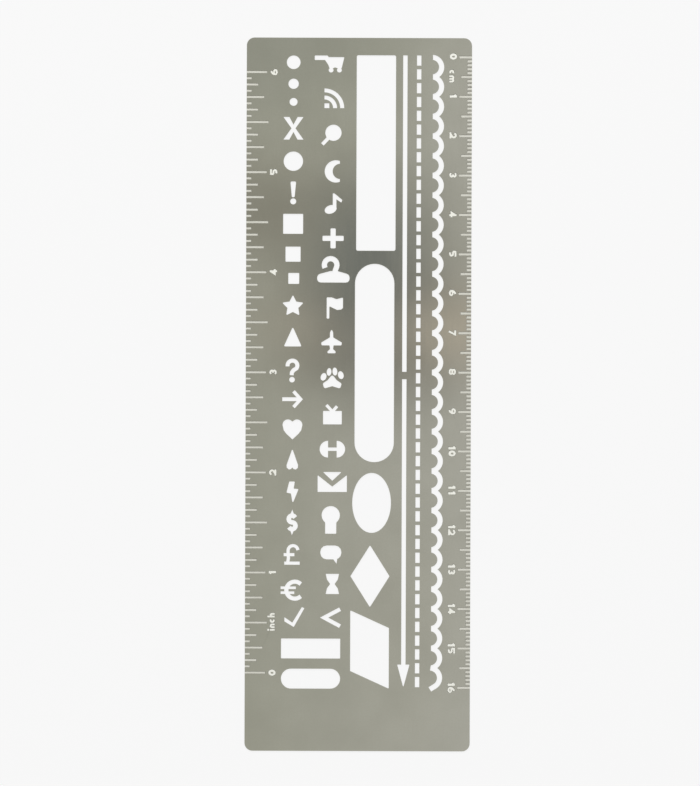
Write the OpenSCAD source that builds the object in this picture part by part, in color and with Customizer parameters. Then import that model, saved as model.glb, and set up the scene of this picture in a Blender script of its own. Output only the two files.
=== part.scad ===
// Stencil bookmark: one thin etched steel sheet with drawing cut-outs and a ruler on each long edge.
// It lies flat with its length along Y and its front face up; the origin is under its middle.
// Lengths are in millimetres. The ruler lines, numbers and words are pale fillings in shallow recesses.

/* [Sheet] */
// Width of the sheet
sheet_w = 57.15; // [56:0.05:72]
// Length of the sheet
sheet_l = 180.975; // [178:0.025:210]
// Thickness of the sheet
sheet_t = 0.4; // [0.3:0.05:1.2]
// Radius of the four corners
corner_r = 2; // [0.5:0.25:4]
// Depth of the recesses under the ruler marks
recess_depth = 0.2; // [0.14:0.01:0.25]
// How far the pale filling lies below the front face
filling_sink = 0.12; // [0:0.01:0.12]

/* [Inch ruler] */
// Number of inches on the left edge
inch_count = 6; // [3:1:6]
// Distance from the top edge down to the zero of the inch ruler
inch_zero_drop = 161.15; // [159:0.05:170]
// Width of every line on the inch ruler
inch_line_w = 0.5; // [0.2:0.05:0.7]
// Length of a whole-inch line
inch_line = 5.15; // [4:0.05:5.5]
// Length of a half-inch line
half_inch_line = 5.55; // [3.5:0.05:5.6]
// Length of a quarter-inch line
quarter_inch_line = 4.45; // [2.5:0.05:5]
// Length of an eighth-inch line
eighth_inch_line = 2.9; // [1.5:0.05:4]
// Length of a sixteenth-inch line
sixteenth_inch_line = 1.25; // [0.8:0.05:2]

/* [Centimetre ruler] */
// Number of centimetres on the right edge
cm_count = 16; // [8:1:16]
// Distance from the top edge down to the zero of the centimetre ruler
cm_zero_drop = 4.85; // [4:0.05:12]
// Width of every line on the centimetre ruler
cm_line_w = 0.55; // [0.2:0.05:0.6]
// Length of a whole-centimetre line
cm_line = 3.2; // [2.5:0.05:3.3]
// Length of a half-centimetre line
half_cm_line = 2.7; // [1.8:0.05:3.2]
// Length of a millimetre line
mm_line = 1.15; // [0.8:0.05:2]

/* [Numbers and words] */
// Height of the numbers
number_h = 1.85; // [1.8:0.05:2.2]
// Width of one figure
figure_w = 1.55; // [1.3:0.05:1.55]
// Width of the strokes in numbers and words
letter_stroke = 0.48; // [0.25:0.01:0.48]
// Distance from the middle of one figure to the next in a two-figure number
figure_pitch = 1.44; // [1.4:0.02:1.9]
// Height of a small letter
letter_h = 1.25; // [1.2:0.05:1.5]
// Width of a small letter
letter_w = 1.15; // [1.05:0.05:1.25]
// Gap between the letters of a word
letter_gap = 0.2; // [0.15:0.05:0.35]
// Gap between a whole-inch line and the number beside it
inch_number_gap = 0.85; // [0.7:0.05:1]
// Gap between a whole-centimetre line and the number beside it
cm_number_gap = 0.6; // [0.3:0.05:0.8]

/* [Picture columns] */
// Distance from the left edge to the middle of the first picture column
first_column = 11.9; // [11.5:0.05:12.5]
// Distance from the left edge to the middle of the second picture column
second_column = 22.05; // [21.5:0.05:23]
// Scale of the pictures, where 1 is a picture about 5 mm across
picture_scale = 1; // [0.8:0.05:1.1]
// Radius that etching leaves in the corners of the pictures
soft_r = 0.16; // [0.06:0.02:0.24]
// Width of the strokes in the line pictures
stroke = 1; // [0.7:0.05:1.1]
// Diameter of the largest round hole
round_1 = 4.9; // [3:0.1:6]
// Diameter of the second round hole
round_2 = 3.45; // [2:0.05:4]
// Diameter of the third round hole
round_3 = 2.6; // [1.5:0.05:3.2]
// Diameter of the smallest round hole
round_4 = 2; // [1:0.05:2.6]
// Side of the largest square hole
square_1 = 5.05; // [4.2:0.05:6]
// Side of the middle square hole
square_2 = 3.8; // [3:0.05:5]
// Side of the smallest square hole
square_3 = 2.75; // [2:0.05:3.5]
// Length of the two bars at the foot of the picture columns
bar_l = 15; // [10:0.1:15.3]
// Width of the two bars
bar_w = 5.05; // [4.4:0.05:5.8]

/* [Windows] */
// Distance from the left edge to the middle of the rectangular window
window_column = 32.9; // [32.5:0.05:33.2]
// Width shared by the rectangular window and the round-ended slot
window_w = 9.95; // [6:0.05:10.4]
// Length of the rectangular window
window_l = 49.6; // [30:0.1:50.5]
// Radius in the corners of the rectangular window
window_r = 0.4; // [0.1:0.05:2]
// Length of the round-ended slot
slot_l = 50.3; // [30:0.1:51]
// Width of the oval
oval_w = 9.8; // [5:0.1:10.4]
// Length of the oval
oval_l = 15.2; // [8:0.1:16]
// Width of the diamond
diamond_w = 9.9; // [5:0.1:10.4]
// Length of the diamond
diamond_l = 15.7; // [9:0.1:16]
// Width of the slanted window
slant_w = 9.8; // [5:0.1:10.4]
// Length of each upright side of the slanted window
slant_l = 15.4; // [8:0.1:15.6]
// How far the slanted window falls from its left side to its right side
slant_fall = 4.45; // [1:0.05:4.6]

/* [Line guides] */
// Distance from the right edge to the middle of the arrow line
arrow_column = 16.9; // [16.5:0.05:17.4]
// Width of the arrow line
arrow_line_w = 1.1; // [0.6:0.05:1.6]
// Length of the steel bridge that splits the arrow line in two
bridge_l = 1.9; // [0.8:0.1:4]
// Width of the arrow head
arrow_head_w = 3.1; // [2:0.1:3.4]
// Length of the arrow head
arrow_head_l = 5.8; // [3:0.1:7]
// Distance from the right edge to the middle of the dashed line
dash_column = 13.4; // [13.1:0.05:13.7]
// Number of dashes
dash_count = 46; // [10:1:46]
// Length of one dash
dash_l = 2.6; // [1.5:0.1:2.9]
// Width of one dash
dash_w = 1.1; // [0.6:0.05:1.4]
// Distance from one dash to the next
dash_pitch = 3.505; // [3.2:0.005:3.51]
// Distance from the right edge to the centres of the scallops
scallop_column = 10.2; // [9.9:0.05:10.4]
// Number of scallops
scallop_count = 32; // [8:1:32]
// Distance from one scallop to the next
scallop_pitch = 5; // [4.6:0.05:5]
// Width of the scalloped line
scallop_line_w = 1.3; // [0.8:0.05:1.5]

/* [Hidden] */
// Where each thing in a column lies, as the distance from the top edge down to its middle
round_drops = [6.25, 11.7, 16.3, 31.35];
cross_drop = 23;
exclamation_drop = 39.45;
square_drops = [47.25, 54.95, 61.1];
star_drop = 68.15;
triangle_drop = 76;
question_drop = 84.4;
right_arrow_drop = 91.75;
heart_drop = 99.4;
cone_drop = 106.95;
lightning_drop = 115.3;
dollar_drop = 123;
pound_drop = 131.15;
euro_drop = 140.2;
tick_drop = 147.05;
bar_drops = [155, 162.65];
trolley_drop = 6.6;
signal_drop = 15.4;
magnifier_drop = 24.1;
crescent_drop = 33.9;
note_drop = 42.1;
plus_drop = 50.9;
hanger_drop = 58.8;
flag_drop = 68.65;
plane_drop = 77;
paw_drop = 86.3;
gift_drop = 95.5;
dumbbell_drop = 104.4;
envelope_drop = 112.7;
bulb_drop = 122.4;
bubble_drop = 131;
hourglass_drop = 138.6;
less_than_drop = 147.15;
window_drop = 29.2;
slot_drop = 82.5;
oval_drop = 118;
diamond_drop = 136.6;
slant_drop = 155.2;
line_top_drop = 4.4;
upper_line_end = 84.7;
arrow_tip_drop = 164.8;
first_scallop_drop = 7.35;

// The windows below the first one stand a little further left, row by row
slot_shift = -0.25;
oval_shift = -0.85;
diamond_shift = -1.2;
slant_shift = -1.25;

// The smallest square and the last picture in the first column stand a little to the right
square_shifts = [0, 0, 0.2];
tick_shift = 0.45;

// Distance from the left edge to the left end of the two bars
bar_inset = 9.2;

// The unit words stand this far right of and above the middle of the space between two numbers, and the
// centimetre numbers a little above their lines
inch_word_shift = [-0.3, 0.2];
cm_word_shift = [-0.1, 0.2];
cm_number_lift = 0.2;

inch = 25.4;
cm = 10;
inch_parts = 16;
cm_parts = 10;
left_x = -sheet_w / 2;
right_x = sheet_w / 2;
top_y = sheet_l / 2;
front_z = sheet_t;
recess_z = front_z - recess_depth;
filling_t = recess_depth - filling_sink;
past = 0.5;
$fn = 64;

steel_colour = [0.59, 0.59, 0.54];
filling_colour = [0.87, 0.86, 0.78];

// Points along an arc about c, from angle a0 to a1 in n steps
function arc(c, r, a0, a1, n = 8) =
    [for (i = [0:n]) let (a = a0 + (a1 - a0) * i / n) c + r * [cos(a), sin(a)]];

function unit(v) = v / norm(v);
function left_of(v) = [-v[1], v[0]];
function reversed(p) = [for (i = [len(p) - 1:-1:0]) p[i]];
function mirrored(p) = [for (i = [len(p) - 1:-1:0]) [-p[i][0], p[i][1]]];

// A point beside point i of a path, h to its left, mitred where the path bends
function beside(p, i, h) =
    let (
        last = len(p) - 1,
        before = left_of(unit(p[max(i, 1)] - p[max(i, 1) - 1])),
        after = left_of(unit(p[min(i, last - 1) + 1] - p[min(i, last - 1)])),
        mitre = unit(before + after)
    )
    p[i] + mitre * h / (mitre * after);

// The outline of a stroke of width w along a path, with square ends
function band(p, w) =
    concat(
        [for (i = [0:len(p) - 1]) beside(p, i, -w / 2)],
        reversed([for (i = [0:len(p) - 1]) beside(p, i, w / 2)])
    );

// One corner b between a and c, rounded to radius r, or to less where its sides are short
function soft_corner(a, b, c, r, steps) =
    let (
        u = unit(a - b),
        v = unit(c - b),
        half = acos(u * v) / 2,
        reach = min(r / tan(half), 0.45 * min(norm(a - b), norm(c - b))),
        fit = reach * tan(half),
        centre = b + unit(u + v) * reach / cos(half),
        from = b + u * reach - centre,
        to = b + v * reach - centre,
        start = atan2(from[1], from[0]),
        turn = (atan2(to[1], to[0]) - start + 540) % 360 - 180
    )
    arc(centre, fit, start, start + turn, steps);

// A closed outline with every corner rounded
function soft(p, r, steps = 3) =
    [
        for (i = [0:len(p) - 1])
            each soft_corner(p[(i + len(p) - 1) % len(p)], p[i], p[(i + 1) % len(p)], r, steps)
    ];

// A box of width w and height h about the origin, as corner points
function box_points(w, h) = [[-w, -h] / 2, [w, -h] / 2, [w, h] / 2, [-w, h] / 2];

function oval_points(a, b, n = 32) = [for (i = [0:n - 1]) [a * cos(360 * i / n), b * sin(360 * i / n)]];

module band_along(path, w = stroke) {
    polygon(band(path, w));
}

module soft_shape(points, r = soft_r) {
    polygon(soft(points, r));
}

// Puts a shape in a column measured from the left edge, a given distance below the top edge
module from_left(inset, drop) {
    translate([left_x + inset, top_y - drop])
        children();
}

module from_right(inset, drop) {
    translate([right_x - inset, top_y - drop])
        children();
}

module picture(column, drop) {
    from_left(column, drop)
        scale(picture_scale)
            children();
}

// The pictures of the first column
module cross() {
    w = 5.1;
    h = 5.75;
    across = 1.5;
    waist = 1;
    slope = [
        [-w / 2, h / 2], [across - w / 2, h / 2], [waist / 2, 0],
        [w / 2, -h / 2], [w / 2 - across, -h / 2], [-waist / 2, 0]
    ];
    polygon(slope);
    polygon(mirrored(slope));
}

module exclamation() {
    soft_shape([[-0.72, 2.95], [0.72, 2.95], [0.34, -1.05], [-0.34, -1.05]], 0.3);
    translate([0, -2.1])
        circle(d = 1.5);
}

module star() {
    tip = 2.85;
    notch = 1.45;
    soft_shape([for (i = [0:9]) (i % 2 == 0 ? tip : notch) * [sin(36 * i), cos(36 * i)]]);
}

module triangle() {
    soft_shape([[-2.25, -2.35], [2.25, -2.35], [0, 2.6]], 0.2);
}

module question() {
    band_along(concat(
        arc([-0.05, 1.2], 1.25, 190, -35, 12),
        [[0.2, 0], [-0.2, -0.6], [-0.25, -1.25]]
    ));
    translate([-0.15, -2.4])
        circle(d = 1.38);
}

module right_arrow() {
    shaft = 0.95;
    translate([-2.6, -shaft / 2])
        square([4.5, shaft]);
    band_along([[0.25, 2], [2.05, 0], [0.25, -2]], 0.85);
}

module heart() {
    lobe_r = 1.35;
    lobe_x = 1.15;
    side = concat([[0, -2.55], [1.5, -1.15], [2.2, -0.25]], arc([lobe_x, lobe_x], lobe_r, -20, 140, 12));
    polygon(concat(side, mirrored([for (i = [1:len(side) - 1]) side[i]])));
}

module cone() {
    side = [[1.45, -1.5], [1.4, -2.2], [0.85, -2.65], [0.3, -2.5]];
    soft_shape(concat([[0, 2.65]], side, [[0, -2.05]], mirrored(side)));
}

module lightning() {
    soft_shape([
        [-0.75, 2.65], [0.65, 2.65], [0.35, 0.85], [1.6, 0.75], [0.1, -2.95], [-0.3, -0.4], [-1.45, -0.15]
    ]);
}

module dollar() {
    r = 0.86;
    band_along(concat(arc([0, r], r, 25, 262, 9), arc([0, -r], r, 82, -155, 9)), 1.15);
    for (end = [0, 180])
        rotate(end)
            polygon([[-0.5, 1.9], [0.5, 1.9], [0.05, 3.25]]);
}

module pound() {
    thin = 0.8;
    band_along(concat(arc([0.25, 1], 1.25, 5, 180, 8), [[-1, 0], [-0.9, -0.9], [-1.1, -2.1]]), thin);
    band_along([[-1.95, -2.2], [1.95, -2.2]], thin);
    band_along([[-2.1, -0.05], [0.6, -0.05]], thin);
}

module euro() {
    bar_stroke = 0.66;
    band_along(arc([0.75, 0], 2.16, 46, 314, 18), 1.05);
    band_along([[-2.85, 0.6], [1, 0.6]], bar_stroke);
    band_along([[-2.85, -0.65], [0.6, -0.65]], bar_stroke);
}

module tick() {
    soft_shape([[-2.35, 0], [-0.3, -1.4], [2.1, 2.55], [2.75, 2.3], [0.05, -2.5], [-2.3, -1.1]], 0.1);
}

// The pictures of the second column
module trolley() {
    soft_shape([[-4.8, 0.95], [-1.9, 0.95], [-1.9, 2.1], [-4.8, 2.1]]);
    soft_shape([
        [-2.4, 2.1], [-1.6, 2.1], [-1.25, 1.7], [2.7, 1.7], [2, -1.15], [1.5, -1.3], [0.35, -0.9],
        [-0.55, -1.3], [-1.05, -1.1], [-1.4, -0.2], [-2.3, 1.1]
    ]);
    for (x = [-0.65, 1.45])
        translate([x, -1.6])
            circle(r = 0.6);
}

module signal() {
    corner = [-2.3, -2.45];
    dot = 1.22;
    translate(corner) {
        square(dot);
        for (r = [2.7, 4.5])
            intersection() {
                difference() {
                    circle(r = r + stroke / 2);
                    circle(r = r - stroke / 2);
                }
                square(r + stroke);
            }
    }
}

module magnifier() {
    circle(r = 2.05);
    band_along([[-1.2, -1.25], [-2.8, -2.95]], 0.9);
}

module crescent() {
    translate([0.65, 0])
        intersection() {
            difference() {
                circle(r = 2.83);
                translate([1.12, 0])
                    circle(r = 1.95);
            }
            translate([-3, -3])
                square([4, 6]);
        }
}

module note() {
    polygon([[-0.1, 2.6], [0.3, 2.6], [2.3, 0.95], [2.05, 0.3], [0.8, 1.1], [0.8, -1.1], [-0.1, -1.5]]);
    translate([-0.65, -1.45])
        rotate(20)
            polygon(oval_points(1.55, 1.05));
}

module plus() {
    arm = 1.3;
    soft_shape(box_points(5.35, arm), 0.25);
    soft_shape(box_points(arm, 5.05), 0.25);
}

module hanger() {
    soft_shape(
        [[-4, -1.3], [-0.6, -0.4], [1.1, -0.4], [4.2, -1.3], [4.2, -3.3], [-4, -3.3]],
        1
    );
    band_along(concat(arc([-0.6, 1.15], 1.6, 208, -20, 14), [[0.6, -0.2], [0.4, -1.2]]), 1.3);
}

module flag() {
    soft_shape([
        [-1.55, 2.75], [-0.3, 2.75], [0.9, 2.3], [2.55, 2.7], [2.55, 0.1], [2.1, -0.3],
        [1.1, -0.4], [0.1, 0.05], [-0.9, 0.55], [-0.9, -2.6], [-1.55, -2.6]
    ]);
}

module plane() {
    side = [
        [0.38, 2.2], [0.42, 0.95], [2.6, -0.35], [2.5, -1.05],
        [0.5, -1.05], [0.38, -2], [1, -2.6], [1, -3.05]
    ];
    translate([-0.3, 0])
        soft_shape(concat([[0, 3.05]], side, mirrored(side)));
}

module paw() {
    toes = [
        [-2.3, 0.25, 0.7, 0.98, -20],
        [-0.9, 1.5, 0.58, 0.96, -5],
        [0.58, 1.6, 0.6, 1, 5],
        [2.08, 0.7, 0.7, 1, 15]
    ];
    for (toe = toes)
        translate([toe[0], toe[1]])
            rotate(toe[4])
                polygon(oval_points(toe[2], toe[3], 24));
    side = [[1.15, -0.6], [2.4, -1.45], [2, -2.7]];
    translate([-0.1, 0])
        soft_shape(concat([[0, 0.8]], side, [[0, -2.1]], mirrored(side)), 0.4);
}

module gift() {
    ribbon = 0.75;
    soft_shape([[-2.38, -2.6], [2.35, -2.6], [2.35, 0.8], [-2.38, 0.8]]);
    band_along([[-1.55, 2.3], [0.05, 0.6]], ribbon);
    band_along([[1.15, 2], [-0.05, 0.6]], ribbon);
}

module dumbbell() {
    flat_x = 1.1;
    handle = 0.85;
    for (side = [0, 180])
        rotate(side)
            translate([flat_x, 0])
                polygon(arc([0, 0], 2.12, -90, 90, 18));
    translate([-flat_x - past, -handle / 2])
        square([2 * (flat_x + past), handle]);
}

module envelope() {
    fold_y = -1.2;
    soft_shape([[-3.7, 1.7], [0, fold_y], [3.7, 1.7], [3.7, -2.55], [-3.7, -2.55]], 0.1);
    soft_shape([[-2.35, 2.5], [2.35, 2.5], [0, 0.3]], 0.1);
}

module bulb() {
    translate([-0.35, 0]) {
        translate([0, 1.25])
            circle(r = 2.3);
        soft_shape([[-1.9, 0.3], [1.9, 0.3], [1.4, -0.7], [1.4, -3.45], [-1.4, -3.45], [-1.4, -0.7]]);
    }
}

module bubble() {
    translate([-0.3, 0.4])
        soft_shape(box_points(5.3, 3.5), 1.65);
    polygon([[0.1, -1], [1.15, -2.45], [1.4, -0.6]]);
}

module hourglass() {
    side = [[1.68, 2.55], [1.35, 1.1], [0.62, 0.1], [0.62, -0.1], [1.35, -1.1], [1.68, -2.55]];
    translate([0.12, 0])
        soft_shape(concat(side, mirrored(side)), 0.1);
}

module less_than() {
    band_along([[2.1, 2.15], [-1.95, 0], [2.1, -2.15]]);
}

module first_picture_column() {
    rounds = [round_2, round_3, round_4, round_1];
    for (i = [0:3])
        from_left(first_column, round_drops[i])
            circle(d = rounds[i]);
    squares = [square_1, square_2, square_3];
    for (i = [0:2])
        from_left(first_column + square_shifts[i], square_drops[i])
            soft_shape(box_points(squares[i], squares[i]));
    picture(first_column, cross_drop) cross();
    picture(first_column, exclamation_drop) exclamation();
    picture(first_column, star_drop) star();
    picture(first_column, triangle_drop) triangle();
    picture(first_column, question_drop) question();
    picture(first_column, right_arrow_drop) right_arrow();
    picture(first_column, heart_drop) heart();
    picture(first_column, cone_drop) cone();
    picture(first_column, lightning_drop) lightning();
    picture(first_column, dollar_drop) dollar();
    picture(first_column, pound_drop) pound();
    picture(first_column, euro_drop) euro();
    picture(first_column + tick_shift, tick_drop) tick();
}

module second_picture_column() {
    picture(second_column, trolley_drop) trolley();
    picture(second_column, signal_drop) signal();
    picture(second_column, magnifier_drop) magnifier();
    picture(second_column, crescent_drop) crescent();
    picture(second_column, note_drop) note();
    picture(second_column, plus_drop) plus();
    picture(second_column, hanger_drop) hanger();
    picture(second_column, flag_drop) flag();
    picture(second_column, plane_drop) plane();
    picture(second_column, paw_drop) paw();
    picture(second_column, gift_drop) gift();
    picture(second_column, dumbbell_drop) dumbbell();
    picture(second_column, envelope_drop) envelope();
    picture(second_column, bulb_drop) bulb();
    picture(second_column, bubble_drop) bubble();
    picture(second_column, hourglass_drop) hourglass();
    picture(second_column, less_than_drop) less_than();
}

// The two wide bars that close the picture columns: one with square ends, one with round ends
module foot_bars() {
    middle = bar_inset + bar_l / 2;
    from_left(middle, bar_drops[0])
        soft_shape(box_points(bar_l, bar_w));
    from_left(middle, bar_drops[1]) {
        square([bar_l - bar_w, bar_w], center = true);
        for (side = [-1, 1])
            translate([side * (bar_l - bar_w) / 2, 0])
                circle(d = bar_w);
    }
}

module windows() {
    from_left(window_column, window_drop)
        soft_shape(box_points(window_w, window_l), window_r);
    from_left(window_column + slot_shift, slot_drop) {
        square([window_w, slot_l - window_w], center = true);
        for (side = [-1, 1])
            translate([0, side * (slot_l - window_w) / 2])
                circle(d = window_w);
    }
    from_left(window_column + oval_shift, oval_drop)
        polygon(oval_points(oval_w / 2, oval_l / 2, 72));
    from_left(window_column + diamond_shift, diamond_drop)
        soft_shape([[0, diamond_l], [diamond_w, 0], [0, -diamond_l], [-diamond_w, 0]] / 2);
    from_left(window_column + slant_shift, slant_drop)
        soft_shape([
            [-slant_w, slant_fall + slant_l], [slant_w, slant_l - slant_fall],
            [slant_w, -slant_fall - slant_l], [-slant_w, slant_fall - slant_l]
        ] / 2);
}

// A straight line in two lengths, the lower one ending in an arrow head
module arrow_line() {
    head_drop = arrow_tip_drop - arrow_head_l;
    lower_start = upper_line_end + bridge_l;
    from_right(arrow_column, upper_line_end)
        translate([-arrow_line_w / 2, 0])
            square([arrow_line_w, upper_line_end - line_top_drop]);
    from_right(arrow_column, head_drop)
        translate([-arrow_line_w / 2, -arrow_head_l / 4])
            square([arrow_line_w, head_drop - lower_start + arrow_head_l / 4]);
    from_right(arrow_column, arrow_tip_drop)
        soft_shape([[0, 0], [arrow_head_w / 2, arrow_head_l], [-arrow_head_w / 2, arrow_head_l]], 0.1);
}

module dashed_line() {
    for (i = [0:dash_count - 1])
        from_right(dash_column, line_top_drop + dash_l + i * dash_pitch)
            translate([-dash_w / 2, 0])
                square([dash_w, dash_l]);
}

// Half rings that bulge to the right and meet in blunt points on the left; the last one trails off
module scalloped_line() {
    r = scallop_pitch / 2;
    flat = 0.3;
    tail = 1.5;
    tail_angle = -58;
    outer = r + scallop_line_w / 2;
    for (i = [0:scallop_count - 2])
        from_right(scallop_column, first_scallop_drop + i * scallop_pitch)
            intersection() {
                difference() {
                    circle(r = outer);
                    circle(r = outer - scallop_line_w);
                }
                translate([flat, -outer - past])
                    square([outer, 2 * (outer + past)]);
            }
    end = r * [cos(tail_angle), sin(tail_angle)];
    from_right(scallop_column, first_scallop_drop + (scallop_count - 1) * scallop_pitch)
        band_along(
            concat(arc([0, 0], r, 86, tail_angle, 18), [end + tail * [sin(tail_angle), -cos(tail_angle)]]),
            scallop_line_w
        );
}

module cut_outs() {
    first_picture_column();
    second_picture_column();
    foot_bars();
    windows();
    arrow_line();
    dashed_line();
    scalloped_line();
}

// Ruler lines every so many sixteenths of an inch, leaving out those that a longer line takes
module inch_ticks(every, longer, length, over = 0) {
    for (i = [0:every:inch_count * inch_parts])
        if (longer == 0 || i % longer != 0)
            from_left(-over, inch_zero_drop - i * inch / inch_parts + inch_line_w / 2)
                square([length + over, inch_line_w]);
}

// Ruler lines every so many millimetres, leaving out those that a longer line takes
module cm_ticks(every, longer, length, over = 0) {
    for (i = [0:every:cm_count * cm_parts])
        if (longer == 0 || i % longer != 0)
            from_right(length, cm_zero_drop + i * cm / cm_parts + cm_line_w / 2)
                square([length + over, cm_line_w]);
}

// Figures are drawn upright about their middle, from the middle lines of their strokes
top = (number_h - letter_stroke) / 2;
side = (figure_w - letter_stroke) / 2;
module pen(path) {
    band_along(path, letter_stroke);
}

// The outside of a closed loop, the eye inside it, and the stroke between them. A zero has a tight eye
module loop(w, h) {
    polygon(oval_points(w / 2, h / 2, 20));
}

module eye(w, h) {
    polygon(oval_points(w / 2 - letter_stroke, h / 2 - letter_stroke, 20));
}

module closed_loop(w, h) {
    difference() {
        loop(w, h);
        eye(w, h);
    }
}

module zero() {
    tight = 0.2;
    difference() {
        loop(figure_w, number_h);
        eye(figure_w - tight, number_h - tight);
    }
}

module one() {
    stem = 0.12;
    flick = [0.48, 0.35];
    band_along([[stem, -number_h / 2], [stem, number_h / 2]], 1.25 * letter_stroke);
    pen([[stem, top], [stem, top] - flick]);
}

module two() {
    pen(concat(arc([0, top - side], side, 165, -40, 7), [[0.1 - side, -top]]));
    pen([[-figure_w / 2, -top], [figure_w / 2, -top]]);
}

module three() {
    bow = [for (p = arc([0, 0], top / 2, 150, -100)) [p[0] * 1.4, p[1] + top / 2]];
    pen(bow);
    pen([for (p = bow) [p[0], -p[1]]]);
}

module four() {
    stem_x = side / 2;
    bar_y = -top / 2;
    pen([[stem_x, -number_h / 2], [stem_x, number_h / 2]]);
    pen([[stem_x, top], [0.12 - side, bar_y], [figure_w / 2, bar_y]]);
}

module five() {
    bowl = 0.57 * top;
    pen([[figure_w / 2, top], [0.08 - side, top], [0.04 - side, 0]]);
    pen([for (p = arc([0, 0], 1, 140, -125)) [p[0] * side, (p[1] + 1) * bowl - top]]);
}

module six() {
    bowl_h = number_h * 0.64;
    bowl_y = (bowl_h - number_h) / 2;
    tail_y = bowl_y + 0.75 * (bowl_h / 2 - letter_stroke);
    tail_end = 97;
    tail_r = (top - tail_y) / sin(tail_end);
    translate([0, bowl_y])
        closed_loop(figure_w, bowl_h);
    pen(arc([tail_r - side, tail_y], tail_r, 180, tail_end));
}

module seven() {
    pen([[-side, top], [side, top], [-side / 2, -number_h / 2]]);
}

module eight() {
    bowl_h = (number_h + letter_stroke) / 2;
    bowl_y = (number_h - bowl_h) / 2;
    difference() {
        for (end = [-1, 1])
            translate([0, end * bowl_y])
                loop(figure_w, bowl_h);
        for (end = [-1, 1])
            translate([0, end * bowl_y])
                eye(figure_w, bowl_h);
    }
}

module figure(n) {
    if (n == 0) zero();
    if (n == 1) one();
    if (n == 2) two();
    if (n == 3) three();
    if (n == 4) four();
    if (n == 5) five();
    if (n == 6) six();
    if (n == 7) seven();
    if (n == 8) eight();
    if (n == 9) rotate(180) six();
}

module number(n) {
    if (n < 10) {
        figure(n);
    } else {
        translate([-figure_pitch / 2, 0])
            figure(floor(n / 10));
        translate([figure_pitch / 2, 0])
            figure(n % 10);
    }
}

// Numbers and the word on the left edge read up the sheet
inch_number_column = inch_line + inch_number_gap + number_h / 2;
module inch_figures() {
    for (i = [0:inch_count])
        from_left(inch_number_column, inch_zero_drop - i * inch)
            rotate(90)
                number(i);
}

// Numbers and the word on the right edge read down the sheet
cm_number_column = cm_line + cm_number_gap + number_h / 2;
module cm_figures() {
    for (i = [0:cm_count])
        from_right(cm_number_column, cm_zero_drop + i * cm - cm_number_lift)
            rotate(-90)
                number(i);
}

// Small letters stand on the line y = 0 with their left side at x = 0
arch_r = (letter_w - letter_stroke) / 2;

// One or more arches side by side on upright legs, the first leg tall or not
module arches(count, tall = false) {
    outer = arch_r + letter_stroke / 2;
    inner = arch_r - letter_stroke / 2;
    spring = letter_h - outer;
    meet = acos(arch_r / outer);
    leave = acos(-inner / outer);
    centres = [for (i = [0:count - 1]) [outer + 2 * arch_r * i, spring]];
    polygon(concat(
        [[0, 0]],
        tall ? [[0, number_h], [letter_stroke, number_h]] : [],
        [
            for (i = [0:count - 1])
                let (from = i > 0 ? 180 - meet : tall ? leave : 180)
                    each arc(centres[i], outer, from, i < count - 1 ? meet : 0)
        ],
        [[letter_w + 2 * arch_r * (count - 1), 0]],
        [
            for (i = [count - 1:-1:0])
                each concat(
                    [[centres[i][0] + inner, 0]],
                    arc(centres[i], inner, 0, 180),
                    [[centres[i][0] - inner, 0]]
                )
        ]
    ));
}

module letter_i() {
    square([letter_stroke, letter_h]);
    translate([0, number_h - letter_stroke])
        square(letter_stroke);
}

module letter_c() {
    pen(arc([letter_w / 2, letter_h / 2], (letter_h - letter_stroke) / 2, 50, 310, 12));
}

module inch_lettering() {
    n_x = letter_stroke + letter_gap;
    c_x = n_x + letter_w + letter_gap;
    h_x = c_x + letter_w + letter_gap;
    length = h_x + letter_w;
    from_left(inch_number_column + inch_word_shift[0], inch_zero_drop - inch / 2 - inch_word_shift[1])
        rotate(90)
            translate([-length / 2, -number_h / 2]) {
                letter_i();
                translate([n_x, 0]) arches(1);
                translate([c_x, 0]) letter_c();
                translate([h_x, 0]) arches(1, true);
            }
}

module cm_lettering() {
    m_x = letter_w + letter_gap;
    length = m_x + letter_w + 2 * arch_r;
    from_right(cm_number_column - cm_word_shift[0], cm_zero_drop + cm / 2 - cm_word_shift[1])
        rotate(-90)
            translate([-length / 2, -number_h / 2]) {
                letter_c();
                translate([m_x, 0]) arches(2);
            }
}

// Every recess in the front face, its lines run out past the long edges
module marks() {
    inch_ticks(inch_parts, 0, inch_line, past);
    inch_ticks(8, inch_parts, half_inch_line, past);
    inch_ticks(4, 8, quarter_inch_line, past);
    inch_ticks(2, 4, eighth_inch_line, past);
    inch_ticks(1, 2, sixteenth_inch_line, past);
    inch_figures();
    inch_lettering();
    cm_ticks(cm_parts, 0, cm_line, past);
    cm_ticks(5, cm_parts, half_cm_line, past);
    cm_ticks(1, 5, mm_line, past);
    cm_figures();
    cm_lettering();
}

module stencil_plate() {
    color(steel_colour)
        difference() {
            linear_extrude(sheet_t)
                difference() {
                    polygon(soft(box_points(sheet_w, sheet_l), corner_r, 8));
                    cut_outs();
                }
            translate([0, 0, recess_z])
                linear_extrude(recess_depth + past)
                    marks();
        }
}

// The pale filling of one kind of mark, standing on the floor of its recess
module filling() {
    color(filling_colour)
        translate([0, 0, recess_z])
            linear_extrude(filling_t)
                children();
}

module inch_lines() {
    filling() inch_ticks(inch_parts, 0, inch_line);
}

module half_inch_lines() {
    filling() inch_ticks(8, inch_parts, half_inch_line);
}

module quarter_inch_lines() {
    filling() inch_ticks(4, 8, quarter_inch_line);
}

module eighth_inch_lines() {
    filling() inch_ticks(2, 4, eighth_inch_line);
}

module sixteenth_inch_lines() {
    filling() inch_ticks(1, 2, sixteenth_inch_line);
}

module inch_numbers() {
    filling() inch_figures();
}

module inch_word() {
    filling() inch_lettering();
}

module cm_lines() {
    filling() cm_ticks(cm_parts, 0, cm_line);
}

module half_cm_lines() {
    filling() cm_ticks(5, cm_parts, half_cm_line);
}

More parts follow.
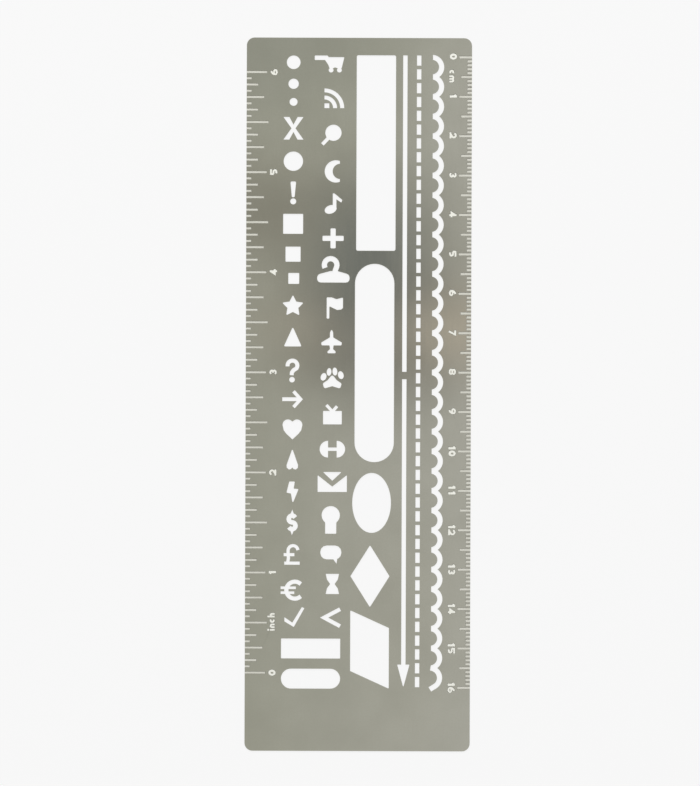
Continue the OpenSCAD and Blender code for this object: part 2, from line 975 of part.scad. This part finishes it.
module mm_lines() {
    filling() cm_ticks(1, 5, mm_line);
}

module cm_numbers() {
    filling() cm_figures();
}

module cm_word() {
    filling() cm_lettering();
}

stencil_plate();
inch_lines();
half_inch_lines();
quarter_inch_lines();
eighth_inch_lines();
sixteenth_inch_lines();
inch_numbers();
inch_word();
cm_lines();
half_cm_lines();
mm_lines();
cm_numbers();
cm_word();
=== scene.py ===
import math

import bpy
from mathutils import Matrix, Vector


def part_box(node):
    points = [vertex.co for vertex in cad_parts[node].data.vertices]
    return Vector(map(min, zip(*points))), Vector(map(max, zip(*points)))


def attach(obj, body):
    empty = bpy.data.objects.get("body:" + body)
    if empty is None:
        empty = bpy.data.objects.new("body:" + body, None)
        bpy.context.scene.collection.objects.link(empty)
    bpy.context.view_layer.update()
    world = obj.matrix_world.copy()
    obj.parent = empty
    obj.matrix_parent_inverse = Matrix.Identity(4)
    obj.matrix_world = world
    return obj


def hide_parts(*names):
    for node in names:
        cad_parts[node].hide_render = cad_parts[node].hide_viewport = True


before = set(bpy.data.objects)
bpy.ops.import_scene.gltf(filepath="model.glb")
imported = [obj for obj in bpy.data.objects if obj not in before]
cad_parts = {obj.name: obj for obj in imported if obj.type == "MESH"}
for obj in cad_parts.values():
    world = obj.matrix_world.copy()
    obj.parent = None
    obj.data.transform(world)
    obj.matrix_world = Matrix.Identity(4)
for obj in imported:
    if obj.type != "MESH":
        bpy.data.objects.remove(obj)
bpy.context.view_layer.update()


# The sheet.
# One piece of thin stainless steel with a satin finish. It is photo-etched from both sides, so the
# edges of every cut-out are slightly rounded, and the recesses of the ruler marks have sloping sides.
MM = 0.001
# A rounded edge is a steep facet and a shallow one, each with these two legs
LONG_LEG = 0.036 * MM
SHORT_LEG = 0.015 * MM
# The mouth of a recess is this much wider than its floor, all round
SLOPE_OUT = 0.09 * MM
# Heights closer than a hair are the same height, and corners closer than a weld are the same corner
HAIR = 0.001 * MM
WELD = 0.0002 * MM

plate_low, plate_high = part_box("stencil_plate")
recess_floor, skin_top = (corner.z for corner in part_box("inch_lines"))
sheet = bpy.data.objects.new("steel_sheet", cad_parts["stencil_plate"].data.copy())
bpy.context.scene.collection.objects.link(sheet)


def heights(face):
    """The height of each corner of a face of the sheet."""
    return [sheet.data.vertices[i].co.z for i in face.vertices]


def lies_at(face, height):
    """Whether a face is level and at this height."""
    return all(abs(z - height) < HAIR for z in heights(face))


def in_recess(face):
    """Whether a face is a side or the floor of a ruler mark's recess."""
    on_rim = abs(abs(face.center.x) - plate_high.x) < HAIR
    return not on_rim and abs(min(heights(face)) - recess_floor) < HAIR


def select_faces(wanted):
    """Opens the sheet for editing with just the faces selected that the test wants."""
    bpy.ops.object.mode_set(mode="EDIT")
    bpy.ops.mesh.select_mode(type="FACE")
    bpy.ops.mesh.select_all(action="DESELECT")
    bpy.ops.object.mode_set(mode="OBJECT")
    for face in sheet.data.polygons:
        face.select = wanted(face)
    bpy.ops.object.mode_set(mode="EDIT")


def eye_corners():
    """The corners of the figures' closed eyes: what lies at the front face but isn't joined to it."""
    front = [face.index for face in sheet.data.polygons if lies_at(face, plate_high.z)]
    largest = max(front, key=lambda index: sheet.data.polygons[index].area)
    select_faces(lambda face: face.index == largest)
    bpy.ops.mesh.faces_select_linked_flat(sharpness=math.radians(1))
    bpy.ops.object.mode_set(mode="OBJECT")
    apart = [sheet.data.polygons[index] for index in front if not sheet.data.polygons[index].select]
    return {i for face in apart for i in face.vertices}


def slope_recesses():
    """Widens the mouth of every recess, down to the top of the pale skin in it. Eyes stay upright."""
    select_faces(lambda face: not in_recess(face) and eyes.isdisjoint(face.vertices))
    bpy.ops.mesh.inset(thickness=SLOPE_OUT, depth=0, use_even_offset=False)
    bpy.ops.object.mode_set(mode="OBJECT")
    mouths = {
        i for face in sheet.data.polygons if in_recess(face)
        for i in face.vertices if sheet.data.vertices[i].co.z > plate_high.z - HAIR
    }
    for i in mouths - eyes:
        sheet.data.vertices[i].co.z = skin_top


def round_edges(height, facing):
    """Rounds the edge all round one face in two facets, and leaves the face itself at its height."""
    select_faces(lambda face: lies_at(face, height) and eyes.isdisjoint(face.vertices))
    bpy.ops.transform.translate(value=(0, 0, -facing * (LONG_LEG + SHORT_LEG)))
    for inwards, outwards, level in (
        (SHORT_LEG, LONG_LEG, height - facing * SHORT_LEG),
        (LONG_LEG, SHORT_LEG, height),
    ):
        bpy.ops.mesh.inset(thickness=inwards, depth=outwards, use_even_offset=False)
        bpy.ops.transform.resize(value=(1, 1, 0), center_override=(0, 0, level))
    bpy.ops.object.mode_set(mode="OBJECT")


bpy.ops.object.select_all(action="DESELECT")
sheet.select_set(True)
bpy.context.view_layer.objects.active = sheet
bpy.ops.object.mode_set(mode="EDIT")
bpy.ops.mesh.select_all(action="SELECT")
bpy.ops.mesh.remove_doubles(threshold=WELD)
bpy.ops.mesh.delete_loose()
bpy.ops.object.mode_set(mode="OBJECT")
eyes = eye_corners()
slope_recesses()
round_edges(plate_high.z, 1)
round_edges(plate_low.z, -1)
bpy.ops.object.shade_flat()


def linear(hex_text):
    """An sRGB colour such as "#98978B" as the linear colour that a shader wants."""
    values = [int(hex_text[i:i + 2], 16) / 255 for i in (1, 3, 5)]
    return [v / 12.92 if v <= 0.04045 else ((v + 0.055) / 1.055) ** 2.4 for v in values] + [1]


def add(tree, kind, settings=None, inputs=None):
    """Adds a node. Each input is a value, a colour as hex text, or another node's output to link."""
    made = tree.nodes.new(kind)
    for name, value in (settings or {}).items():
        setattr(made, name, value)
    for name, value in (inputs or {}).items():
        if isinstance(value, bpy.types.NodeSocket):
            tree.links.new(value, made.inputs[name])
        else:
            made.inputs[name].default_value = linear(value) if isinstance(value, str) else value
    return made


def new_material(name):
    """An empty material and its node tree."""
    material = bpy.data.materials.new(name)
    material.use_nodes = True
    material.node_tree.nodes.clear()
    return material, material.node_tree


# The colour sockets of a Mix node: its two inputs and its output
FIRST, SECOND, MIXED = 6, 7, 2
# Noise stays in the middle of its range, so that part of it is stretched over the whole
NOISE_LOW = 0.35
NOISE_HIGH = 0.65
# Grain from the rolls runs along the sheet. It is 0.05 mm wide on the real one, and wider here so
# that it shows
GRAIN_WIDTH = 0.3 * MM
GRAIN_STRETCH = 22
GRAIN_DEPTH = 0.004 * MM
# Clouds a centimetre across and specks under half a millimetre keep the satin from looking painted
CLOUD_SIZE = 13 * MM
SPECK_SIZE = 0.45 * MM
SPECK_SHARE = 0.2
# Spots where an edge is rubbed more or less, and the pits that the acid leaves on a wall
WEAR_SIZE = 2.5 * MM
PIT_SIZE = 0.08 * MM


def satin_stainless():
    """Cold-rolled stainless steel, satin finished: a soft olive grey with a fine grain along it."""
    material, tree = new_material("satin_stainless")
    place = add(tree, "ShaderNodeTexCoord").outputs["Object"]
    rolled = add(tree, "ShaderNodeMapping", inputs={"Vector": place, "Scale": (1, 1 / GRAIN_STRETCH, 1)})
    grain = add(tree, "ShaderNodeTexNoise", inputs={
        "Vector": rolled.outputs["Vector"], "Scale": 1 / GRAIN_WIDTH, "Detail": 3,
    })
    cloud = add(tree, "ShaderNodeTexNoise", inputs={"Vector": place, "Scale": 1 / CLOUD_SIZE, "Detail": 3})
    speck = add(tree, "ShaderNodeTexNoise", inputs={"Vector": place, "Scale": 1 / SPECK_SIZE, "Detail": 2})
    clouded = add(tree, "ShaderNodeMapRange", inputs={
        "Value": cloud.outputs["Fac"], "From Min": NOISE_LOW, "From Max": NOISE_HIGH,
    })
    specked = add(tree, "ShaderNodeMapRange", inputs={
        "Value": speck.outputs["Fac"], "From Min": NOISE_LOW, "From Max": NOISE_HIGH, "To Max": SPECK_SHARE,
    })
    rough = add(tree, "ShaderNodeMapRange", inputs={
        "Value": grain.outputs["Fac"], "From Min": NOISE_LOW, "From Max": NOISE_HIGH,
        "To Min": 0.29, "To Max": 0.34,
    })
    soft = add(tree, "ShaderNodeMix", {"data_type": "RGBA"}, {
        "Factor": clouded.outputs["Result"], FIRST: "#99988C", SECOND: "#949387",
    })
    base = add(tree, "ShaderNodeMix", {"data_type": "RGBA"}, {
        "Factor": specked.outputs["Result"], FIRST: soft.outputs[MIXED], SECOND: "#8F8E81",
    })
    bump = add(tree, "ShaderNodeBump", inputs={
        "Height": grain.outputs["Fac"], "Strength": 0.06, "Distance": GRAIN_DEPTH,
    })
    steel = add(tree, "ShaderNodeBsdfPrincipled", inputs={
        "Metallic": 1, "Base Color": base.outputs[MIXED], "Roughness": rough.outputs["Result"],
        "Normal": bump.outputs["Normal"],
    })
    add(tree, "ShaderNodeOutputMaterial", inputs={"Surface": steel.outputs["BSDF"]})
    return material


def painted_highlight_rubbed_stainless():
    """The same steel where its edges are rounded by etching and rubbed smoother by hands, painted paler as
    a highlight of the light the edges catch.
    """
    material, tree = new_material("painted_highlight_rubbed_edge")
    place = add(tree, "ShaderNodeTexCoord").outputs["Object"]
    wear = add(tree, "ShaderNodeTexNoise", inputs={"Vector": place, "Scale": 1 / WEAR_SIZE, "Detail": 2})
    # Both greys are paler than the satin: a painted highlight on the rounded edges, with spots rubbed more
    # or less between them
    base = add(tree, "ShaderNodeMix", {"data_type": "RGBA"}, {
        "Factor": wear.outputs["Fac"], FIRST: "#A6A59A", SECOND: "#B3B2A8",
    })
    steel = add(tree, "ShaderNodeBsdfPrincipled", inputs={
        "Metallic": 1, "Base Color": base.outputs[MIXED], "Roughness": 0.3,
    })
    add(tree, "ShaderNodeOutputMaterial", inputs={"Surface": steel.outputs["BSDF"]})
    return material


def etched_wall_painted_shade():
    """Bare steel as the acid leaves it on the sides of the ruler marks: matte, shaded by its slope, and
    painted darker as shade in the recess.
    """
    material, tree = new_material("acid_etched_steel_painted_shade")
    place = add(tree, "ShaderNodeTexCoord").outputs["Object"]
    pits = add(tree, "ShaderNodeTexNoise", inputs={"Vector": place, "Scale": 1 / PIT_SIZE, "Detail": 2})
    # Both greys are the acid's matte steel, darkened further as painted shade on the sides of each recess
    base = add(tree, "ShaderNodeMix", {"data_type": "RGBA"}, {
        "Factor": pits.outputs["Fac"], FIRST: "#74736A", SECOND: "#807F75",
    })
    steel = add(tree, "ShaderNodeBsdfPrincipled", inputs={
        "Metallic": 0, "Base Color": base.outputs[MIXED], "Roughness": 0.8, "Specular IOR Level": 0.1,
    })
    add(tree, "ShaderNodeOutputMaterial", inputs={"Surface": steel.outputs["BSDF"]})
    return material


# The upright part of a face's normal is 0 on a wall and 1 on the front. Between these it is a slope.
WALL_FLATNESS = 0.1
FACE_FLATNESS = 0.99
SATIN, RUBBED_HIGHLIGHT, ETCHED_SHADE = range(3)

sheet.data.materials.clear()
for finish in (satin_stainless(), painted_highlight_rubbed_stainless(), etched_wall_painted_shade()):
    sheet.data.materials.append(finish)
# Rounded edges take the paler steel, whose paleness is a painted highlight
for face in sheet.data.polygons:
    sloping = WALL_FLATNESS < abs(face.normal.z) < FACE_FLATNESS
    # Recess sides beside the skin take the darker steel with its painted shade
    beside_skin = any(abs(z - skin_top) < HAIR for z in heights(face))
    face.material_index = (ETCHED_SHADE if beside_skin else RUBBED_HIGHLIGHT) if sloping else SATIN
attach(sheet, "root")
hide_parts("stencil_plate")


# The ruler marks.
# Lines, figures and unit words are etched half-way into the sheet from the front and left with a pale,
# matte skin. Each kind of mark is its own piece, seated in its recess just below the face.
# The acid's grit, and patches where the skin is a little fuller or thinner
GRIT_SIZE = 0.12 * MM
GRIT_SHARE = 0.5
GRIT_DEPTH = 0.01 * MM
PATCH_SIZE = 3 * MM


def pale_etching(name, light, shade, grey):
    """The floor of half-etched steel with its pale skin: matte cream, slightly grainy from the acid."""
    material, tree = new_material(name)
    place = add(tree, "ShaderNodeTexCoord").outputs["Object"]
    grit = add(tree, "ShaderNodeTexNoise", inputs={"Vector": place, "Scale": 1 / GRIT_SIZE, "Detail": 3})
    patchy = add(tree, "ShaderNodeTexNoise", inputs={"Vector": place, "Scale": 1 / PATCH_SIZE, "Detail": 2})
    patched = add(tree, "ShaderNodeMapRange", inputs={
        "Value": patchy.outputs["Fac"], "From Min": NOISE_LOW, "From Max": NOISE_HIGH,
    })
    gritty = add(tree, "ShaderNodeMapRange", inputs={
        "Value": grit.outputs["Fac"], "From Min": NOISE_LOW, "From Max": NOISE_HIGH, "To Max": GRIT_SHARE,
    })
    rough = add(tree, "ShaderNodeMapRange", inputs={
        "Value": grit.outputs["Fac"], "From Min": NOISE_LOW, "From Max": NOISE_HIGH,
        "To Min": 0.65, "To Max": 0.85,
    })
    soft = add(tree, "ShaderNodeMix", {"data_type": "RGBA"}, {
        "Factor": patched.outputs["Result"], FIRST: light, SECOND: shade,
    })
    base = add(tree, "ShaderNodeMix", {"data_type": "RGBA"}, {
        "Factor": gritty.outputs["Result"], FIRST: soft.outputs[MIXED], SECOND: grey,
    })
    bump = add(tree, "ShaderNodeBump", inputs={
        "Height": grit.outputs["Fac"], "Strength": 0.4, "Distance": GRIT_DEPTH,
    })
    skin = add(tree, "ShaderNodeBsdfPrincipled", inputs={
        "Metallic": 0, "Base Color": base.outputs[MIXED], "Roughness": rough.outputs["Result"],
        "Specular IOR Level": 0.3, "Normal": bump.outputs["Normal"],
    })
    add(tree, "ShaderNodeOutputMaterial", inputs={"Surface": skin.outputs["BSDF"]})
    return material


# The figures and words keep a full, bright skin. The lines run to the edge, where it is rubbed thinner.
full_skin = pale_etching("pale_etching", "#FAFAF2", "#F5F5EB", "#EAE9DE")
thin_skin = pale_etching("worn_pale_etching", "#DFDED4", "#D7D6CB", "#CAC8BC")
for name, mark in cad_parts.items():
    if name != "stencil_plate":
        mark.data.materials.clear()
        mark.data.materials.append(thin_skin if name.endswith("lines") else full_skin)


# The floor.
# A plain, near-white table. To the camera and in the metal it is mostly its own colour, so that it
# stays even, and the rest of it takes the light, so that it keeps the sheet's soft shadow.
FLOOR_COLOUR = "#F9F9F9"
FLOOR_HALF = 3.0
FLOOR_DROP = 0.01 * MM
FLOOR_GLOW = 0.88


def seen_share(tree):
    """1 for what the camera sees, straight or by way of metal or glass, and 0 for light that falls."""
    ray = add(tree, "ShaderNodeLightPath")
    seen = add(tree, "ShaderNodeMath", {"operation": "MAXIMUM"}, {
        0: ray.outputs["Is Camera Ray"], 1: ray.outputs["Is Glossy Ray"],
    })
    seen = add(tree, "ShaderNodeMath", {"operation": "MAXIMUM"}, {
        0: seen.outputs["Value"], 1: ray.outputs["Is Transmission Ray"],
    })
    return seen.outputs["Value"]


bpy.ops.mesh.primitive_plane_add(size=2 * FLOOR_HALF, location=(0, 0, plate_low.z - FLOOR_DROP))
floor = bpy.context.object
floor.name = "floor"
floor_material, tree = new_material("plain_pale_floor")
share = add(tree, "ShaderNodeMath", {"operation": "MULTIPLY"}, {0: seen_share(tree), 1: FLOOR_GLOW})
card = add(tree, "ShaderNodeBsdfPrincipled", inputs={
    "Base Color": FLOOR_COLOUR, "Roughness": 1, "Specular IOR Level": 0,
})
glow = add(tree, "ShaderNodeEmission", inputs={"Color": FLOOR_COLOUR, "Strength": 1})
both = add(tree, "ShaderNodeMixShader", inputs={
    "Fac": share.outputs["Value"], 1: card.outputs["BSDF"], 2: glow.outputs["Emission"],
})
add(tree, "ShaderNodeOutputMaterial", inputs={"Surface": both.outputs["Shader"]})
floor.data.materials.append(floor_material)


# The light.
# An even white studio all round, a soft panel beyond the top edge, and a graded panel overhead that
# only the steel mirrors: brighter to the right, with the dim front of the camera and its warm rim in it.
WORLD_LEVEL = 0.5
WORLD_SEEN = 0.94
PANEL_SHARE = 1 - WORLD_LEVEL
PANEL_SIZE = (1.4, 0.7)
PANEL_PLACE = Vector((-0.24, 1.0, 1.1))
CEILING_HEIGHT = 0.045
CEILING_HALF = 0.35
CEILING_STRENGTH = 1.59
# The graded panel brightens from this far left of the middle to as far right of it
CEILING_FADE = 60 * MM
# Each card that the graded panel carries, the lowest first: its middle and its half widths in mm, and
# its colour. It fades out towards its rim.
CARDS = (
    ((-30, 80), (140, 90), "#E0E1DE"),
    ((-38, 98), (114, 47), "#C5C7C6"),
    ((-62, 50), (170, 27), "#AEABA7"),
    ((30, 74), (25, 50), "#E6E6EA"),
    ((8, 18), (47, 29), "#504333"),
    ((20, 18), (72, 13.4), "#FCF0E8"),
    ((3, 32), (25, 48), "#848B92"),
    ((14, -64), (20, 60), "#D8D8D8"),
)

# The studio lights at its level, and it looks as pale as the floor to the camera and in the metal.
world = bpy.data.worlds.new("studio")
bpy.context.scene.world = world
world.use_nodes = True
tree = world.node_tree
tree.nodes.clear()
level = add(tree, "ShaderNodeMapRange", inputs={
    "Value": seen_share(tree), "To Min": WORLD_LEVEL, "To Max": WORLD_SEEN,
})
studio = add(tree, "ShaderNodeBackground", inputs={"Color": "#FFFFFF", "Strength": level.outputs["Result"]})
add(tree, "ShaderNodeOutputWorld", inputs={"Surface": studio.outputs["Background"]})

# At these watts the lamp lights the middle of the floor as a studio of that share would. The steel
# doesn't mirror it, because it has the graded panel for that.
panel_data = bpy.data.lights.new("soft_panel", "AREA")
panel_data.shape = "RECTANGLE"
panel_data.size, panel_data.size_y = PANEL_SIZE
panel_data.energy = PANEL_SHARE * math.pi ** 2 * PANEL_PLACE.length ** 3 / PANEL_PLACE.z
panel = bpy.data.objects.new("soft_panel", panel_data)
panel.location = PANEL_PLACE
panel.rotation_euler = PANEL_PLACE.to_track_quat("Z", "Y").to_euler()
panel.visible_glossy = False
bpy.context.scene.collection.objects.link(panel)

bpy.ops.mesh.primitive_plane_add(size=2 * CEILING_HALF, location=(0, 0, CEILING_HEIGHT))
ceiling = bpy.context.object
ceiling.name = "graded_panel"
bpy.ops.object.transform_apply(location=True, rotation=True, scale=True)
ceiling_material, tree = new_material("graded_panel")
place = add(tree, "ShaderNodeTexCoord").outputs["Object"]
apart = add(tree, "ShaderNodeSeparateXYZ", inputs={"Vector": place})
across = add(tree, "ShaderNodeMapRange", {"interpolation_type": "SMOOTHSTEP"}, {
    "Value": apart.outputs["X"], "From Min": -CEILING_FADE, "From Max": CEILING_FADE,
})
shown = add(tree, "ShaderNodeMix", {"data_type": "RGBA"}, {
    "Factor": across.outputs["Result"], FIRST: "#CDCECB", SECOND: "#E8E8ED",
})
for (x, y), (half_x, half_y), colour in CARDS:
    oval = add(tree, "ShaderNodeMapping", {"vector_type": "TEXTURE"}, {
        "Vector": place, "Location": (x * MM, y * MM, CEILING_HEIGHT),
        "Scale": (half_x * MM, half_y * MM, 1),
    })
    ball = add(tree, "ShaderNodeTexGradient", {"gradient_type": "SPHERICAL"}, {
        "Vector": oval.outputs["Vector"],
    })
    fade = add(tree, "ShaderNodeMapRange", {"interpolation_type": "SMOOTHERSTEP"}, {
        "Value": ball.outputs["Fac"],
    })
    shown = add(tree, "ShaderNodeMix", {"data_type": "RGBA"}, {
        "Factor": fade.outputs["Result"], FIRST: shown.outputs[MIXED], SECOND: colour,
    })
light = add(tree, "ShaderNodeEmission", inputs={
    "Color": shown.outputs[MIXED], "Strength": CEILING_STRENGTH,
})
add(tree, "ShaderNodeOutputMaterial", inputs={"Surface": light.outputs["Emission"]})
ceiling.data.materials.append(ceiling_material)
ceiling.visible_camera = False
ceiling.visible_diffuse = False
ceiling.visible_transmission = False
ceiling.visible_volume_scatter = False
ceiling.visible_shadow = False


# The camera.
# It looks straight down on the sheet with a long lens, turned a fifth of a degree, as in the photograph.
# The long side of its picture covers VIEW_LENGTH of the sheet's front face.
VIEW_LENGTH = 199.4 * MM
VIEW_MIDDLE = (-2.1 * MM, 0.36 * MM)
LENS = 100
SENSOR = 36
ROLL_DEGREES = 0.2

camera_data = bpy.data.cameras.new("camera")
camera_data.lens = LENS
camera_data.sensor_width = SENSOR
camera_data.clip_start = 0.01
camera_data.clip_end = 20
camera = bpy.data.objects.new("camera", camera_data)
camera.location = (*VIEW_MIDDLE, plate_high.z + VIEW_LENGTH * LENS / SENSOR)
camera.rotation_euler = (0, 0, math.radians(ROLL_DEGREES))
bpy.context.scene.collection.objects.link(camera)
bpy.context.scene.camera = camera
bpy.context.scene.view_settings.view_transform = "Standard"
